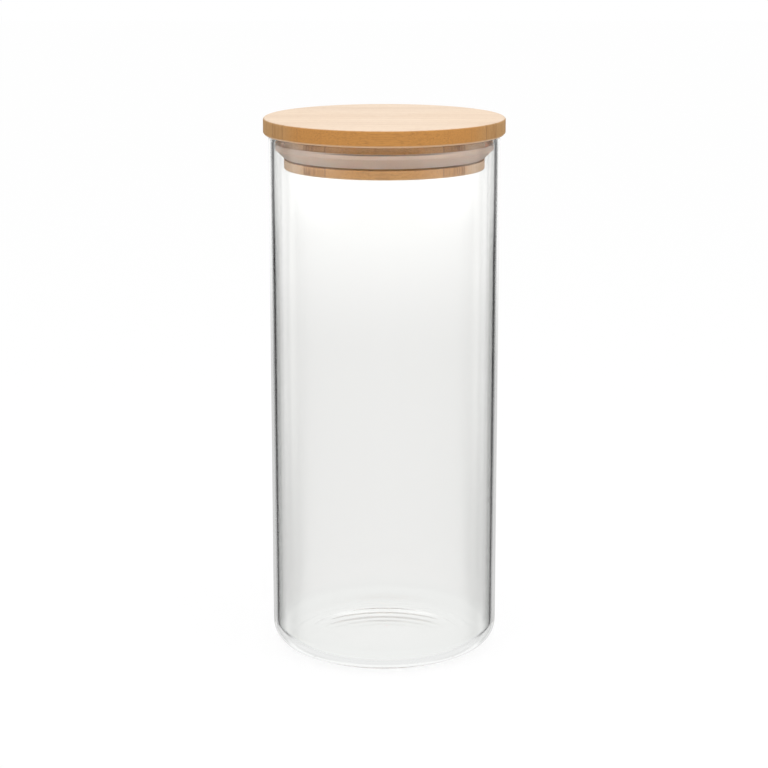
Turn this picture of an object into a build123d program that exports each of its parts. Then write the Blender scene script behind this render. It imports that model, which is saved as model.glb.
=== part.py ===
"""Lidded glass canister: a round glass jar, a push-in bamboo lid and its silicone seal.

The jar stands on Z = 0 with its axis on Z. The lid is two boards, each glued up from strips
that run along X, turned round and glued together: a wide disc and a narrower plug below it.
"""

import os
from math import cos, radians, sin

from build123d import *

# Jar, in millimetres
glass_diameter = 100.0
glass_height = 229.8
glass_wall = 2.4
base_thickness = 3.0
heel_radius = 10.0
inner_heel_radius = 6.5
inner_heel_flats = 6
stand_ring_width = 5.0
push_up_height = 1.0
rim_ease = 0.7

# Lid disc
lid_overhang = 2.25
disc_thickness = 6.0
disc_edge_ease = 0.7
disc_strip_count = 14

# Lid plug
plug_gap = 4.2
plug_height = 15.55
plug_end_ease = 0.5
plug_strip_count = 11

# Groove round the plug, and the seal in it
groove_depth = 2.6
groove_end_height = 3.95
seal_base_height = 3.5
seal_lip_height = 5.8
seal_root_thickness = 1.3
seal_tip_thickness = 0.75
seal_root_recess = 0.2
seal_knee_reach = 2.9
seal_knee_height = 2.2
seal_knee_thickness = 1.2
seal_knee_angle = 45.0

# Fits
lid_seat_gap = 0.2
seal_bore_clearance = 0.08
seal_side_clearance = 0.1
seal_wall_clearance = 0.15
seal_under_gap = 0.75

# Material left on each board for turning it round
turning_allowance = 1.0

# Radii that the pieces share
glass_radius = glass_diameter / 2
mouth_radius = glass_radius - glass_wall
lid_radius = glass_radius + lid_overhang
plug_radius = mouth_radius - plug_gap
groove_radius = plug_radius - groove_depth

# Heights that the pieces share
disc_bottom = glass_height + lid_seat_gap
plug_bottom = disc_bottom - plug_height
groove_bottom = plug_bottom + groove_end_height
groove_height = seal_base_height + seal_side_clearance + seal_under_gap
groove_top = groove_bottom + groove_height
seal_top = groove_top - seal_side_clearance
seal_bottom = seal_top - seal_base_height
lip_top = seal_bottom + seal_lip_height


def keep(piece, name):
    """Labels a finished piece and writes it as its own file."""
    piece.part.label = name
    export_step(piece.part, f"parts/{name}.step")


def saw_strips(board, diameter, count, name):
    """Parts a turned board along its glue lines and keeps each strip as a piece."""
    strip_width = (diameter + turning_allowance) / count
    bounds = board.part.bounding_box()
    for index in range(count):
        middle = (index + 0.5 - count / 2) * strip_width
        with BuildPart() as strip:
            add(board.part)
            with Locations((0, middle, bounds.center().Z)):
                Box(2 * diameter, strip_width, 2 * bounds.size.Z, mode=Mode.INTERSECT)
        keep(strip, f"{name}_{index + 1:02d}")


os.makedirs("parts", exist_ok=True)

# Glass jar: one wall turned about the axis, with a rolled heel, a pushed-up base and an eased rim
stand_outer = glass_radius - heel_radius
stand_inner = stand_outer - stand_ring_width
floor_edge = mouth_radius - inner_heel_radius
inner_heel_top = base_thickness + inner_heel_radius
inner_heel = []
for step in range(inner_heel_flats + 1):
    angle = radians(90 * step / inner_heel_flats)
    inner_heel.append((floor_edge + inner_heel_radius * cos(angle), inner_heel_top - inner_heel_radius * sin(angle)))
with BuildPart() as glass_jar:
    with BuildSketch(Plane.XZ):
        with BuildLine():
            Polyline(
                (0, push_up_height),
                (stand_inner / 2, 0.75 * push_up_height),
                (stand_inner, 0),
                (stand_outer, 0),
            )
            TangentArc((stand_outer, 0), (glass_radius, heel_radius), tangent=(1, 0))
            Polyline(
                (glass_radius, heel_radius),
                (glass_radius, glass_height - rim_ease),
                (glass_radius - rim_ease, glass_height),
                (mouth_radius + rim_ease, glass_height),
                (mouth_radius, glass_height - rim_ease),
                *inner_heel,
                (0, base_thickness),
                (0, push_up_height),
            )
        make_face()
    revolve(axis=Axis.Z)
keep(glass_jar, "glass_jar")

# Lid disc: a turned board with both edges eased
with BuildPart() as disc_board:
    with BuildSketch(Plane.XY.offset(disc_bottom)):
        Circle(lid_radius)
    extrude(amount=disc_thickness)
    chamfer(disc_board.edges().filter_by(GeomType.CIRCLE), disc_edge_ease)
saw_strips(disc_board, 2 * lid_radius, disc_strip_count, "lid_disc_strip")

# Lid plug: a smaller turned board under the disc, with a groove for the seal
with BuildPart() as plug_board:
    with BuildSketch(Plane.XY.offset(plug_bottom)):
        Circle(plug_radius)
    extrude(amount=plug_height)
    chamfer(plug_board.edges().group_by(Axis.Z)[0], plug_end_ease)
    with BuildSketch(Plane.XY.offset(groove_bottom)):
        Circle(plug_radius + turning_allowance)
        Circle(groove_radius, mode=Mode.SUBTRACT)
    extrude(amount=groove_height, mode=Mode.SUBTRACT)
saw_strips(plug_board, 2 * plug_radius, plug_strip_count, "lid_plug_strip")

# Silicone seal: a square base in the groove and a thin lip that bends up against the glass
seal_bore = groove_radius + seal_bore_clearance
seal_root = plug_radius - seal_root_recess
tip_outer = mouth_radius - seal_wall_clearance
tip_inner = tip_outer - seal_tip_thickness
knee_outer = plug_radius + seal_knee_reach
knee_level = seal_bottom + seal_knee_height
knee_inner = knee_outer - seal_knee_thickness * cos(radians(seal_knee_angle))
knee_inner_level = knee_level + seal_knee_thickness * sin(radians(seal_knee_angle))
with BuildPart() as seal_ring:
    with BuildSketch(Plane.XZ):
        with BuildLine():
            Polyline(
                (seal_bore, seal_bottom),
                (plug_radius, seal_bottom),
                (knee_outer, knee_level),
                (tip_outer, lip_top),
                (tip_inner, lip_top),
                (knee_inner, knee_inner_level),
                (seal_root, seal_bottom + seal_root_thickness),
                (seal_root, seal_top),
                (seal_bore, seal_top),
                close=True,
            )
        make_face()
    revolve(axis=Axis.Z)
keep(seal_ring, "seal_ring")
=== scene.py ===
# %% [markdown]
# # A glass canister with a bamboo lid
# The jar is one turned wall of clear glass. Its lid is two boards of bamboo strips, and a silicone ring in a groove
# of the lower board seals the mouth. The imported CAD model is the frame: it gives every place and size, and each
# piece made here stands in for CAD nodes that are too coarse for a close look.

# %% Load the frame
import math

import bpy
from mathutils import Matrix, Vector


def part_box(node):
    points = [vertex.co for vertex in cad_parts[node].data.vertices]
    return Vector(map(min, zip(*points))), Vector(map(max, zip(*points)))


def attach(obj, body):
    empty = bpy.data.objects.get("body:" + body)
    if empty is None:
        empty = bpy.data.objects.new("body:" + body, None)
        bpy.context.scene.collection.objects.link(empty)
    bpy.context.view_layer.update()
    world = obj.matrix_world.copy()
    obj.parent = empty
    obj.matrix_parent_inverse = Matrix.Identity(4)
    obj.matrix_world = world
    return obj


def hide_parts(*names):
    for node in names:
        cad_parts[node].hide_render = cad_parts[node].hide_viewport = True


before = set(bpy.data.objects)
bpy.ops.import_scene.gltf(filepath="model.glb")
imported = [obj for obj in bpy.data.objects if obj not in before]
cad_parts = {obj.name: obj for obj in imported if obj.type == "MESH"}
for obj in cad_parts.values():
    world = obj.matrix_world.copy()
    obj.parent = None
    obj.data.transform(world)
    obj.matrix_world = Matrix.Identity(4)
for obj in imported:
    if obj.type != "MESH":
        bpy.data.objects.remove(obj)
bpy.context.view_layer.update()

MM = 0.001

# %% [markdown]
# ## Wires instead of boxes
# Node trees are easier to read as sums. A `Wire` holds one socket, and each operator on it adds one Math node. Every
# other node comes from `node`, which sets a node's own settings first and then its sockets. The same class works in
# shader trees and in geometry trees, because both use the same Math node.


# %% A wire through a node tree
class Wire:
    """One value in a node tree."""

    def __init__(self, tree, socket=None):
        self.tree = tree
        self.socket = socket

    def node(self, kind, settings=None, sockets=None, out=0):
        """Adds a node with its settings, then its socket values or links, and gives a wire from one output."""
        made = self.tree.nodes.new(kind)
        for name, value in (settings or {}).items():
            setattr(made, name, value)
        for name, value in (sockets or {}).items():
            for one in value if isinstance(value, list) else [value]:
                if isinstance(one, Wire):
                    self.tree.links.new(one.socket, made.inputs[name])
                else:
                    made.inputs[name].default_value = one
        return Wire(self.tree, made.outputs[out] if len(made.outputs) else None)

    def math(self, operation, other=None):
        values = {0: self} if other is None else {0: self, 1: other}
        return self.node("ShaderNodeMath", {"operation": operation}, values)

    def swapped(self, operation, first):
        return self.node("ShaderNodeMath", {"operation": operation}, {0: first, 1: self})

    def __add__(self, other):
        return self.math("ADD", other)

    def __radd__(self, other):
        return self.swapped("ADD", other)

    def __sub__(self, other):
        return self.math("SUBTRACT", other)

    def __rsub__(self, other):
        return self.swapped("SUBTRACT", other)

    def __mul__(self, other):
        return self.math("MULTIPLY", other)

    def __rmul__(self, other):
        return self.swapped("MULTIPLY", other)

    def __truediv__(self, other):
        return self.math("DIVIDE", other)

    def __rtruediv__(self, other):
        return self.swapped("DIVIDE", other)

    def rise(self, low, high):
        """0 below low, 1 above high, with a soft step between them."""
        return self.node(
            "ShaderNodeMapRange",
            {"interpolation_type": "SMOOTHSTEP"},
            {0: self, 1: low, 2: high, 3: 0.0, 4: 1.0},
        )

    def parts(self):
        """The three numbers of a vector."""
        split = self.node("ShaderNodeSeparateXYZ", None, {0: self})
        return [Wire(self.tree, socket) for socket in split.socket.node.outputs]


def blend_colours(share, first, second):
    """One colour over another, by a share from 0 to 1."""
    return share.node("ShaderNodeMix", {"data_type": "RGBA"}, {0: share, 6: first, 7: second}, 2)


# %% [markdown]
# ## Camera
# The photograph looks down a little on the lid, from about a metre away. Distance, height and tilt come from fitting
# the outlines of lid and glass. A long lens keeps the jar's sides almost parallel.

# %% Camera
picture_width = 768
focal_pixels = 2246
eye_distance = 968
eye_height = 343.9
tilt = 13.15
camera_data = bpy.data.cameras.new("Camera")
camera = bpy.data.objects.new("Camera", camera_data)
bpy.context.scene.collection.objects.link(camera)
camera.location = (0, -eye_distance * MM, eye_height * MM)
camera.rotation_euler = (math.radians(90 - tilt), 0, 0)
camera_data.sensor_width = 36
camera_data.lens = focal_pixels / picture_width * 36
camera_data.shift_x = -0.3 / picture_width
bpy.context.scene.camera = camera
print("lens", round(camera_data.lens, 1), "mm")

# %% [markdown]
# ## A lathe in Geometry Nodes
# Every piece of this object is turned about the upright axis. The tree takes the points of a profile, lays a grid
# with one row for each point and one column for each step of the turn, and bends the grid round. Merging closes the
# seam and the poles. A Screw modifier could do the same, but here the steps are plain to follow and its inputs named.


# %% The lathe tree
def begin_tree(name, inputs):
    """A geometry tree with named inputs, and the wires that come from them."""
    tree = bpy.data.node_groups.new(name, "GeometryNodeTree")
    tree.interface.new_socket("Geometry", in_out="INPUT", socket_type="NodeSocketGeometry")
    for label, kind in inputs:
        tree.interface.new_socket(label, in_out="INPUT", socket_type=kind)
    tree.interface.new_socket("Geometry", in_out="OUTPUT", socket_type="NodeSocketGeometry")
    entry = tree.nodes.new("NodeGroupInput")
    return tree, [Wire(tree, socket) for socket in entry.outputs]


def end_tree(tree, shape, material, sharp_angle):
    """Shades smooth, keeps real corners sharp, and closes the tree with its material."""
    start = Wire(tree)
    bend = start.node("GeometryNodeInputMeshEdgeAngle")
    corner = bend.node("FunctionNodeCompare", {"operation": "GREATER_THAN"}, {0: bend, 1: sharp_angle})
    shape = start.node("GeometryNodeSetShadeSmooth", {"domain": "FACE"}, {"Geometry": shape, "Shade Smooth": True})
    shape = start.node(
        "GeometryNodeSetShadeSmooth",
        {"domain": "EDGE"},
        {"Geometry": shape, "Selection": corner, "Shade Smooth": False},
    )
    shape = start.node("GeometryNodeRealizeInstances", None, {0: shape})
    shape = start.node("GeometryNodeSetMaterial", None, {"Geometry": shape, "Material": material})
    start.node("NodeGroupOutput", None, {0: shape})


def make_lathe():
    inputs = [("Segments", "NodeSocketInt"), ("Sharp Angle", "NodeSocketFloat"), ("Material", "NodeSocketMaterial")]
    tree, (profile, segments, sharp_angle, material, _) = begin_tree("Lathe", inputs)
    start = Wire(tree)
    rows = start.node("GeometryNodeAttributeDomainSize", {"component": "MESH"}, {0: profile})
    columns = segments + 1
    grid = start.node("GeometryNodeMeshGrid", None, {"Vertices X": rows, "Vertices Y": columns})
    index = start.node("GeometryNodeInputIndex")
    row = (index / columns).math("FLOOR")
    column = index - row * columns
    place = start.node("GeometryNodeInputPosition")
    point = start.node(
        "GeometryNodeSampleIndex",
        {"data_type": "FLOAT_VECTOR", "domain": "POINT"},
        {"Geometry": profile, "Value": place, "Index": row},
    )
    radius, _, height = point.parts()
    turn = column * (2 * math.pi) / segments
    turned = start.node(
        "ShaderNodeCombineXYZ",
        None,
        {0: radius * turn.math("COSINE"), 1: radius * turn.math("SINE"), 2: height},
    )
    shape = start.node("GeometryNodeSetPosition", None, {"Geometry": grid, "Position": turned})
    shape = start.node("GeometryNodeMergeByDistance", None, {"Geometry": shape, "Distance": 1e-6})
    end_tree(tree, shape, material, sharp_angle)
    return tree


lathe = make_lathe()
print("lathe tree", len(lathe.nodes), "nodes")

# %% [markdown]
# ## Profiles
# A profile is a short list of corners in millimetres, each as radius, height and how round the corner is. `rounded`
# puts an arc into every corner that asks for one, as a turner's tool would leave it.


# %% Profile helper
def rounded(corners, steps=10):
    """Points of a profile, with an arc in each corner that has a radius. The two ends have none."""
    points = []
    for k, (r, z, radius) in enumerate(corners):
        if radius == 0:
            points.append((r, z))
            continue
        before = corners[k - 1]
        after = corners[k + 1]
        a = math.atan2(before[1] - z, before[0] - r)
        b = math.atan2(after[1] - z, after[0] - r)
        half = (b - a + math.pi) % (2 * math.pi) - math.pi
        middle = a + half / 2
        reach = radius / math.sin(abs(half) / 2)
        centre = (r + reach * math.cos(middle), z + reach * math.sin(middle))
        swing = math.copysign(math.pi - abs(half), half)
        for step in range(steps + 1):
            angle = middle + math.pi + swing / 2 - swing * step / steps
            points.append((centre[0] + radius * math.cos(angle), centre[1] + radius * math.sin(angle)))
    return points


# %% [markdown]
# ## From a profile to a piece
# A piece starts as an object that holds only its profile. The trees are put on it as modifiers, and `settle` keeps
# their result as a plain mesh, so that the finished piece carries no tree any more.


# %% Piece helpers
def put_modifier(piece, tree, values):
    """Adds a geometry tree to a piece and sets its inputs by their identifiers."""
    modifier = piece.modifiers.new(tree.name, "NODES")
    modifier.node_group = tree
    for socket in tree.interface.items_tree:
        if socket.in_out == "INPUT" and socket.name in values:
            modifier[socket.identifier] = values[socket.name]


def start_piece(name, profile):
    """An object that holds only a profile, in metres."""
    mesh = bpy.data.meshes.new(name)
    mesh.from_pydata([(r * MM, 0, z * MM) for r, z in profile], [], [])
    piece = bpy.data.objects.new(name, mesh)
    bpy.context.scene.collection.objects.link(piece)
    return piece


def settle(piece):
    """Turns the result of the trees into a plain mesh and takes the trees off."""
    bpy.context.view_layer.update()
    result = bpy.data.meshes.new_from_object(piece.evaluated_get(bpy.context.evaluated_depsgraph_get()))
    piece.modifiers.clear()
    old = piece.data
    piece.data = result
    bpy.data.meshes.remove(old)
    result.name = piece.name
    result.calc_loop_triangles()
    print(piece.name, len(result.loop_triangles), "triangles", [round(v * 1000, 2) for v in piece.dimensions])


# %% [markdown]
# ## Glass finish
# Clear glass is a Principled shader with full transmission. What tells glass from a drawing of glass is small: the
# wall is never quite even, so a very weak bump draws it out along the axis, and thick glass at the heel is a trace
# greener than the thin wall.


# %% Glass
def new_material(name, settings):
    """A material with one Principled shader, its steady values set on the shader's own sockets."""
    material = bpy.data.materials.new(name)
    material.use_nodes = True
    shader = material.node_tree.nodes["Principled BSDF"]
    for socket, value in settings.items():
        shader.inputs[socket].default_value = value
    return material, shader, Wire(material.node_tree)


def feed(shader, **wires):
    """Links wires to the shader's sockets."""
    for name, wire in wires.items():
        wire.tree.links.new(wire.socket, shader.inputs[name.replace("_", " ")])


glass, glass_shader, start = new_material(
    "clear_glass", {"Transmission Weight": 1.0, "IOR": 1.47, "Roughness": 0.0}
)
place = start.node("ShaderNodeTexCoord", out="Object")
x, y, z = place.parts()
drawn = start.node("ShaderNodeCombineXYZ", None, {0: x * 60, 1: y * 60, 2: z * 9})
waves = start.node("ShaderNodeTexNoise", None, {"Vector": drawn, "Scale": 1.0, "Detail": 1.0})
uneven = start.node("ShaderNodeBump", None, {"Strength": 0.01, "Distance": 0.001, "Height": waves})
thick = 1 - z.rise(0.004, 0.016)
slant = start.node("ShaderNodeLayerWeight", None, {"Blend": 0.5}, "Facing")
clear = blend_colours(slant, (0.986, 0.986, 0.978, 1), (0.95, 0.953, 0.945, 1))
tint = blend_colours(thick * 0.6, clear, (0.955, 0.97, 0.96, 1))
feed(glass_shader, Base_Color=tint, Normal=uneven)
print("glass", len(glass.node_tree.nodes), "nodes")

# %% [markdown]
# ## Jar
# The jar's wall is drawn once round: over the floor, up the inside, across the fire-polished rim, down the outside and
# round the heel to the pushed-up base. Points close together in the arcs keep the reflections smooth, and a point a
# little past each arc keeps the long straight wall from being shaded as if it were bent. The rim is a little lower
# than in the CAD model, because the lid above it is drawn thicker.

# %% Jar
_, jar_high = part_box("glass_jar")
jar_radius = jar_high.x / MM
jar_height = jar_high.z / MM - 1.0
wall = 2.4
mouth_radius = jar_radius - wall
floor_height = 3.0
inner_heel = 8.0
heel = 10.0
rim_round = 0.7
jar_profile = rounded(
    [
        (0, floor_height, 0),
        (mouth_radius - inner_heel - 1, floor_height, 0),
        (mouth_radius, floor_height, inner_heel),
        (mouth_radius, floor_height + inner_heel + 2, 0),
        (mouth_radius, jar_height - 3, 0),
        (mouth_radius, jar_height, rim_round),
        (jar_radius, jar_height, rim_round),
        (jar_radius, jar_height - 3, 0),
        (jar_radius, heel + 2, 0),
        (jar_radius, 0, heel),
        (jar_radius - heel - 5, 0, 0),
    ],
    steps=24,
)

# %% [markdown]
# The push-up is a very flat cap of a sphere, so the jar stands on the ring round it. Its curve is worked out from its
# width and height, and then the whole profile goes on the lathe.

# %% Push-up and turning
turning = {"Segments": 256, "Sharp Angle": math.radians(40)}
push_up = 1.0
cap_edge = jar_profile[-1][0]
cap_radius = (cap_edge**2 + push_up**2) / (2 * push_up)
cap_steps = 40
for k in range(1, cap_steps + 1):
    r = cap_edge * (1 - k / cap_steps)
    jar_profile.append((r, push_up - cap_radius + math.sqrt(cap_radius**2 - r * r)))
jar = start_piece("jar_wall", jar_profile)
put_modifier(jar, lathe, {**turning, "Material": glass})
settle(jar)
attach(jar, "jar")
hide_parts("glass_jar")

# %% [markdown]
# ## Silicone finish
# The seal is milky silicone. Light enters it and comes out a little further on, which subsurface scattering gives, and
# moulded silicone has a satin skin with a faint unevenness. The lip is so thin at its top that it is almost clear when
# it is seen face on, and milky where the eye looks along it, so Alpha follows the height and the slant of the view. The
# upper part of the lip is darkened towards grey brown with painted shade, most where it is seen edge on.

# %% Silicone
silicone, silicone_shader, start = new_material(
    "milky_silicone",
    {
        "Subsurface Weight": 0.9,
        "Subsurface Radius": (1.0, 0.8, 0.65),
        "Subsurface Scale": 0.003,
        "Transmission Weight": 0.3,
        "IOR": 1.41,
    },
)
place = start.node("ShaderNodeTexCoord", out="Object")
cloud = start.node("ShaderNodeTexNoise", None, {"Vector": place, "Scale": 160.0, "Detail": 3.0})
milk_and_shade = blend_colours(cloud, (0.86, 0.60, 0.478, 1), (0.96, 0.71, 0.585, 1))
skin = start.node("ShaderNodeTexNoise", None, {"Vector": place, "Scale": 2500.0, "Detail": 2.0})
grain = start.node("ShaderNodeBump", None, {"Strength": 0.12, "Distance": 0.0002, "Height": skin})

lip_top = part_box("seal_ring")[1].z / MM
height_mm = place.parts()[2] / MM
slant = start.node("ShaderNodeLayerWeight", None, {"Blend": 0.5}, "Facing")
# Painted shade: the upper part of the lip is darkened towards grey brown, more where it is seen edge on.
lip_shade_band = height_mm.rise(lip_top - 1.9, lip_top - 1.2)
milk_and_shade = blend_colours(lip_shade_band * (0.15 + 0.35 * slant.rise(0.02, 0.4)), milk_and_shade, (0.50, 0.41, 0.34, 1))
thin = height_mm.rise(lip_top - 0.3, lip_top + 0.4)
body = 1 - thin * (0.8 - 0.8 * slant.rise(0.02, 0.3))
feed(silicone_shader, Base_Color=milk_and_shade, Roughness=0.42 + 0.16 * cloud, Normal=grain, Alpha=body)
print("silicone", len(silicone.node_tree.nodes), "nodes")

# %% [markdown]
# ## Seal ring
# A square base fills the groove. From its foot a thin lip runs out as a straight cone, bends at a knee and stands up
# along the glass, where it ends in a thin rounded tip. The profile goes up the inside of the lip and down its outside.

# %% Seal ring
seal_low, seal_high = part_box("seal_ring")
seal_bottom = seal_low.z / MM
lip_radius = seal_high.x / MM
plug_low, plug_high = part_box("lid_plug_strip_06")
plug_radius = plug_high.x / MM
plug_bottom = plug_low.z / MM
plug_top = plug_high.z / MM - 1.15
groove_radius = plug_radius - 2.6
bore = groove_radius + 0.08
root = plug_radius - 0.2
base_top = seal_bottom + 3.5
knee = seal_bottom + 4.2
lip_end = lip_top + 0.7
base = [(bore, seal_bottom), (bore, base_top), (root, base_top)]
inner_lip = rounded(
    [
        (root, seal_bottom + 1.3, 0),
        (lip_radius - 1.0, knee + 0.65, 1.0),
        (lip_radius - 0.6, lip_end - 0.3, 0),
    ]
)
tip = [(lip_radius - 0.48, lip_end - 0.06), (lip_radius - 0.3, lip_end), (lip_radius - 0.12, lip_end - 0.06)]
outer_lip = rounded([(lip_radius, lip_end - 0.3, 0), (lip_radius - 0.12, knee, 1.0), (plug_radius, seal_bottom, 0)])
seal_profile = base + inner_lip + tip + outer_lip + base[:1]
seal = start_piece("seal_ring_moulded", seal_profile)
put_modifier(seal, lathe, {**turning, "Material": silicone})
settle(seal)
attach(seal, "seal")
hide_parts("seal_ring")

# %% [markdown]
# ## Fibres
# Bamboo is a bundle of fibres, so the pattern is made in the round and not painted on: every noise is stretched along
# X, the way the strips run. On the front of the lid it shows as long streaks, and on the ends of the strips the same
# fibres show as short upright marks.


# %% Fibres
def chance(number, seed):
    """A number from 0 to 1 that is always the same for one whole number."""
    return number.node("ShaderNodeTexWhiteNoise", {"noise_dimensions": "1D"}, {"W": number + seed})


def fibre_noise(x, y, z, scales, detail=2.0):
    """Noise with its own scale along each axis, in turns per millimetre."""
    where = x.node("ShaderNodeCombineXYZ", None, {k: v * scale for k, (v, scale) in enumerate(zip((x, y, z), scales))})
    return x.node("ShaderNodeTexNoise", None, {"Vector": where, "Scale": 1.0, "Detail": detail})


# %% [markdown]
# ## Bamboo finish
# Each strip has its own tone, from the number that the saw tree stores on it. The fibre bundles of a stem stand closest
# under its skin, so on the ends of a dark strip the marks crowd towards one side. A thin line of glue shows at some
# joints. The eased lower edge carries a painted highlight, and the underside of the board painted light, both in the
# pale face colour.


# %% Bamboo
def bamboo(name, colours, strip_width, strip_count, seeds, top_height, bottom_height):
    """Laminated bamboo. The colours are: pale face (also the painted highlight on the eased lower edge and underside),
    long edge, end grain, fibre, glue.
    """
    pale_face_and_highlight, edge, end, fibre, glue = colours
    strip_seed, joint_seed = seeds
    material, shader, start = new_material(name, {"IOR": 1.45, "Specular IOR Level": 0.35})
    x, y, z = [value / MM for value in start.node("ShaderNodeTexCoord", out="Object").parts()]
    luck = chance(start.node("ShaderNodeAttribute", {"attribute_name": "strip"}, out="Fac"), strip_seed)
    shifted = x + 300 * luck
    layers = fibre_noise(shifted, y, z, (0.012, 1.25, 0.12))
    streaks = fibre_noise(shifted, y, z, (0.02, 2.6, 2.2))
    hairs = fibre_noise(shifted, y, z, (0.05, 6.0, 5.0), 1.0)
    flecks = fibre_noise(shifted, y, z, (0.5, 1.9, 1.9), 1.0)

    cross = (x * x) / (x * x + y * y + 1.0)
    ends = cross.rise(0.42, 0.78)
    cut = cross.rise(0.15, 0.5)
    heavy = luck.rise(0.55, 1.0)
    face = z.rise(top_height - 0.5, top_height - 0.1)
    tone = blend_colours(ends, edge, end)
    tone = blend_colours(face, tone, pale_face_and_highlight)
    long_grain = streaks.rise(0.46, 0.70) * 0.40 + hairs.rise(0.5, 0.8) * 0.32 + flecks.rise(0.5, 0.72) * 0.3
    along = y / strip_width + strip_count / 2
    skin_side = (along - along.math("FLOOR")).rise(0.1, 0.9) * heavy
    bundles = layers.rise(0.45, 0.55)
    end_grain = (bundles * (0.15 + 0.3 * heavy) + skin_side * (0.2 + 0.5 * bundles)) * cut * (1 - face)
    tone = blend_colours((long_grain * (1 - 0.55 * face)).math("MAXIMUM", end_grain), tone, fibre)
    tone = blend_colours(luck * (0.26 - 0.16 * face), tone, fibre)

    joint = along.math("ROUND")
    near = (along - joint).math("ABSOLUTE") * strip_width
    line = (1 - near.rise(0.05, 0.32)) * (0.08 + 0.62 * chance(joint, joint_seed)) * (1 - 0.6 * face)
    tone = blend_colours(line, tone, glue)
    # Painted highlight on the eased lower edge and painted light on the underside of the board, both in the pale face
    # colour.
    painted_edge_highlight = 1 - z.rise(bottom_height + 0.6, bottom_height + 0.9)
    painted_underside_light = 1 - z.rise(bottom_height + 0.05, bottom_height + 0.3)
    tone = blend_colours(painted_edge_highlight * 0.3 + painted_underside_light * 0.5, tone, pale_face_and_highlight)
    ridges = hairs * 0.5 + streaks - line
    relief = start.node("ShaderNodeBump", None, {"Strength": 0.15, "Distance": 0.0003, "Height": ridges})
    feed(shader, Base_Color=tone, Roughness=0.46 + 0.14 * hairs + 0.08 * ends, Normal=relief)
    print(name, len(material.node_tree.nodes), "nodes")
    return material


# %% [markdown]
# ## A saw in Geometry Nodes
# A laminated board is strips glued side by side. The tree sets a row of boxes across the turned board and keeps what
# the two share, which leaves one slice for each strip with a hair of glue between. Cutting real strips, not drawing
# lines, keeps every slice closed and gives each its number for the finish.


# %% The saw tree
def make_saw():
    inputs = [
        ("Strips", "NodeSocketInt"),
        ("Strip Width", "NodeSocketFloat"),
        ("Glue Line", "NodeSocketFloat"),
        ("Board Size", "NodeSocketFloat"),
        ("Board Middle", "NodeSocketFloat"),
        ("Sharp Angle", "NodeSocketFloat"),
        ("Material", "NodeSocketMaterial"),
    ]
    tree, wires = begin_tree("Saw", inputs)
    board, strips, width, glue_line, size, middle, sharp_angle, material, _ = wires
    start = Wire(tree)
    first = start.node("ShaderNodeCombineXYZ", None, {1: (1 - strips) * width / 2, 2: middle})
    step = start.node("ShaderNodeCombineXYZ", None, {1: width})
    row = start.node("GeometryNodeMeshLine", None, {"Count": strips, "Start Location": first, "Offset": step})
    block_size = start.node("ShaderNodeCombineXYZ", None, {0: size, 1: width - glue_line, 2: size})
    block = start.node("GeometryNodeMeshCube", None, {"Size": block_size})
    blocks = start.node("GeometryNodeInstanceOnPoints", None, {"Points": row, "Instance": block})
    blocks = start.node("GeometryNodeRealizeInstances", None, {0: blocks})
    shape = start.node(
        "GeometryNodeMeshBoolean", {"operation": "INTERSECT", "solver": "EXACT"}, {1: [board, blocks]}
    )
    _, y, _ = start.node("GeometryNodeInputPosition").parts()
    number = (y / width + strips / 2).math("FLOOR")
    shape = start.node(
        "GeometryNodeStoreNamedAttribute",
        {"data_type": "FLOAT", "domain": "FACE"},
        {"Geometry": shape, "Name": "strip", "Value": number},
    )
    end_tree(tree, shape, material, sharp_angle)
    return tree


saw = make_saw()
print("saw tree", len(saw.nodes), "nodes")

# %% [markdown]
# ## From a profile to a board
# Both boards of the lid go the same way: turned on the lathe, sawn into strips, and set on the lid in place of the CAD
# strips that they stand for.


# %% Board
def make_board(name, profile, nodes, width, material):
    """Turns a board, saws it into strips and puts it on the lid in place of its CAD nodes."""
    board = start_piece(name, profile)
    put_modifier(board, lathe, {**turning, "Material": material})
    heights = [z for _, z in profile]
    values = {
        "Strips": len(nodes),
        "Strip Width": width * MM,
        "Glue Line": 0.02 * MM,
        "Board Size": 200 * MM,
        "Board Middle": (min(heights) + max(heights)) / 2 * MM,
        "Sharp Angle": math.radians(40),
        "Material": material,
    }
    put_modifier(board, saw, values)
    settle(board)
    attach(board, "lid")
    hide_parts(*nodes)
    return board


# %% [markdown]
# ## Lid disc
# The upper board is turned round with soft edges, so that it is kind to the fingers that lift it. It is drawn a little
# thicker than the CAD board, down to where the lower edge lies in the photograph.

# %% Lid disc
disc_nodes = [f"lid_disc_strip_{k:02d}" for k in range(1, 15)]
disc_low, disc_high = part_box("lid_disc_strip_07")
disc_radius = disc_high.x / MM
disc_bottom = disc_low.z / MM - 1.15
disc_top = disc_high.z / MM
disc_width = (disc_high.y - disc_low.y) / MM
disc_bamboo = bamboo(
    "bamboo_disc",
    [
        (0.735, 0.588, 0.45, 1),
        (0.52, 0.24, 0.058, 1),
        (0.48, 0.28, 0.11, 1),
        (0.30, 0.13, 0.035, 1),
        (0.22, 0.10, 0.04, 1),
    ],
    disc_width,
    len(disc_nodes),
    (51, 2722),
    disc_top,
    disc_bottom,
)
disc_profile = rounded(
    [
        (0, disc_top, 0),
        (disc_radius, disc_top, 1.0),
        (disc_radius, disc_bottom + 0.85, 0.4),
        (disc_radius - 0.7, disc_bottom, 0.3),
        (0, disc_bottom, 0),
    ]
)
disc = make_board("lid_disc", disc_profile, disc_nodes, disc_width, disc_bamboo)

# %% [markdown]
# ## Lid plug
# The lower board fits into the mouth. Its groove is turned right across the strips, so the glue lines run on inside it.

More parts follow.
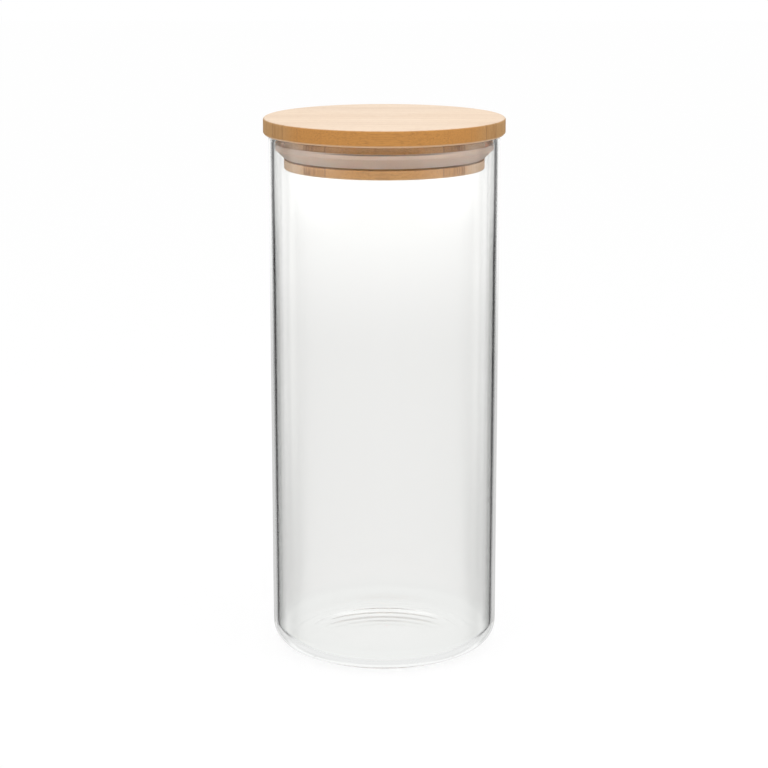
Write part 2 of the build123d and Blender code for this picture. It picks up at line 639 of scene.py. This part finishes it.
# %% Lid plug
plug_nodes = [f"lid_plug_strip_{k:02d}" for k in range(1, 12)]
plug_width = (plug_high.y - plug_low.y) / MM
groove_bottom = plug_bottom + 3.95
groove_top = groove_bottom + 4.35
plug_bamboo = bamboo(
    "bamboo_plug",
    [
        (0.62, 0.38, 0.19, 1),
        (0.575, 0.305, 0.108, 1),
        (0.65, 0.48, 0.33, 1),
        (0.32, 0.15, 0.05, 1),
        (0.22, 0.10, 0.04, 1),
    ],
    plug_width,
    len(plug_nodes),
    (2609, 1470),
    plug_top + 10,
    plug_bottom,
)
plug_profile = rounded(
    [
        (0, plug_top, 0),
        (plug_radius, plug_top, 0),
        (plug_radius, groove_top, 0.15),
        (groove_radius, groove_top, 0),
        (groove_radius, groove_bottom, 0),
        (plug_radius, groove_bottom, 0.15),
        (plug_radius, plug_bottom, 0.5),
        (0, plug_bottom, 0),
    ]
)
plug = make_board("lid_plug", plug_profile, plug_nodes, plug_width, plug_bamboo)

# %% [markdown]
# ## Floor
# The canister stands on a white sweep. Seen by the camera, the floor is paper white and keeps a faint shadow. Rays
# that come through the glass pass on to the backdrop below.

# %% Floor
half = 4
drop = -0.05 * MM
corners = [(-half, -half, drop), (half, -half, drop), (half, half, drop), (-half, half, drop)]
floor_mesh = bpy.data.meshes.new("floor")
floor_mesh.from_pydata(corners, [], [(0, 1, 2, 3)])
floor = bpy.data.objects.new("floor", floor_mesh)
bpy.context.scene.collection.objects.link(floor)
paper = bpy.data.materials.new("white_paper")
paper.use_nodes = True
paper.node_tree.nodes.clear()
start = Wire(paper.node_tree)
path = start.node("ShaderNodeLightPath").socket.node.outputs
is_camera, is_glossy, is_through = [
    Wire(paper.node_tree, path[name]) for name in ("Is Camera Ray", "Is Glossy Ray", "Is Transmission Ray")
]
lit = start.node("ShaderNodeBsdfDiffuse", None, {"Color": (0.95, 0.95, 0.95, 1)})
white = start.node("ShaderNodeEmission", None, {"Color": (1, 1, 1, 1), "Strength": 1.0})
clear = start.node("ShaderNodeBsdfTransparent")
top = start.node("ShaderNodeMixShader", None, {0: is_camera * 0.92, 1: lit, 2: white})
through = is_through.math("MAXIMUM", is_glossy)
surface = start.node("ShaderNodeMixShader", None, {0: through, 1: top, 2: clear})
start.node("ShaderNodeOutputMaterial", None, {0: surface})
floor_mesh.materials.append(paper)
print("floor", 2 * half, "m wide")

# %% [markdown]
# ## Studio
# Glass is lit by what stands round it, so the studio is drawn in the world as a function of direction. `away` is the
# turn from straight behind the jar, the same to both sides, and `height` the angle above the horizon. Two small helpers
# give soft steps along them in degrees.

# %% Directions
world = bpy.data.worlds.new("Studio")
bpy.context.scene.world = world
world.use_nodes = True
world.node_tree.nodes.clear()
start = Wire(world.node_tree)
x, y, z = start.node("ShaderNodeTexCoord", out="Generated").parts()
away = x.math("ABSOLUTE").math("ARCTAN2", y)
height = z.math("ARCSINE")


def round_from(low, high):
    """0 near the back of the studio and 1 further round, in degrees."""
    return away.rise(math.radians(low), math.radians(high))


def up_from(low, high):
    """0 below one elevation and 1 above another, in degrees."""
    return height.rise(math.radians(low), math.radians(high))


# %% [markdown]
# ## Studio walls
# Rays that the glass has mirrored see these walls. White stands behind the jar and above eye level. The dark at the
# sides draws the thin lines along the edges of the glass, and its inner edge leans outwards lower down. Past the dark
# come a grey side, a soft glow and a grey front, which keep the glass from looking black. At the level of the lid the
# front is a brighter veil that fades towards the camera.

# %% Studio walls
lean_span = math.radians(9)
under_eye = 1 - up_from(-5, 0)
below = (0 - height - lean_span).math("MAXIMUM", 0.0).math("MINIMUM", lean_span)
edge = math.radians(23.7) + 0.64 * below
dark = away.rise(edge, edge + math.radians(0.5))
black = 0.03 + 0.4 * up_from(-10, -8) * round_from(31, 34) * under_eye
side = (0.455 + 0.42 * up_from(-12, -8.5) - 0.6 * up_from(-8, -7.3)) * under_eye
shade = black + (side - black) * round_from(49.6, 53.6)
shade = shade * (1 - round_from(60, 70))
glow = round_from(50, 56) * (1 - round_from(68, 88)) * up_from(-17.5, -12.5)
glow = glow * (0.52 - 0.25 * up_from(-10.5, -9))
front = 0.5 * round_from(70, 95) + glow
veil = (0.95 - 0.7 * round_from(120, 155)) * round_from(64, 78)
shade = shade + (front + up_from(-9.5, -8) * (veil - front)) * under_eye
shade = shade + 0.9 * up_from(0, 10)
white = 1 - 0.37 * (1 - up_from(-13, -8.8)) * round_from(4, 8)
studio = white + dark * (shade - white)
studio = studio + (1 - up_from(-38, -30)) * (0.86 - studio)

# %% [markdown]
# ## Backdrop and daylight
# The camera sees plain white. Rays that run straight through the jar see the backdrop, a little greyer lower down, and
# the mirrored ones see the walls. Everything matt is lit by an even sky. Light that reaches the lid through the glass
# comes mostly from a band near the horizon, because it meets the upright wall squarely and passes best.

# %% Backdrop and daylight
path = start.node("ShaderNodeLightPath").socket.node.outputs
is_camera, is_glossy, is_through, mirrored, scattered = [
    Wire(world.node_tree, path[name])
    for name in ("Is Camera Ray", "Is Glossy Ray", "Is Transmission Ray", "Glossy Depth", "Diffuse Depth")
]
backdrop = 0.925 + 0.28 * up_from(-12.6, -7)
seen = backdrop + mirrored.rise(0.5, 0.6) * (studio - backdrop)
sky = 0.6 + 0.4 * up_from(-60, 60)
band = up_from(-25, 5) * (1 - up_from(12, 30))
inside = sky * (1 + is_through * (5.6 * band - 0.7))
glass_view = is_glossy.math("MAXIMUM", is_through) * (1 - scattered.rise(0.5, 0.6))
level = inside + glass_view * (seen - inside)
level = level + is_camera * (1 - level)
background = start.node("ShaderNodeBackground", None, {"Color": level, "Strength": 1.0})
start.node("ShaderNodeOutputWorld", None, {0: background})
print("studio", len(world.node_tree.nodes), "nodes")

# %% [markdown]
# ## Softbox
# One large lamp above gives the lid its soft top light. The glass doesn't mirror it. The bounce limits are high,
# because rays that run along inside the wall are mirrored many times before they come out.

# %% Softbox
lamp_data = bpy.data.lights.new("Softbox", "AREA")
lamp_data.shape = "RECTANGLE"
lamp_data.size = 1.0
lamp_data.size_y = 0.8
lamp_data.energy = 6.0
softbox = bpy.data.objects.new("Softbox", lamp_data)
softbox.location = (0.1, -0.35, 1.15)
softbox.rotation_euler = (math.radians(-20), math.radians(5), 0)
softbox.visible_glossy = False
softbox.visible_transmission = False
bpy.context.scene.collection.objects.link(softbox)
bpy.context.scene.view_settings.view_transform = "Standard"
cycles = bpy.context.scene.cycles
cycles.max_bounces = cycles.glossy_bounces = cycles.transmission_bounces = 512
print("softbox", lamp_data.energy, "W")
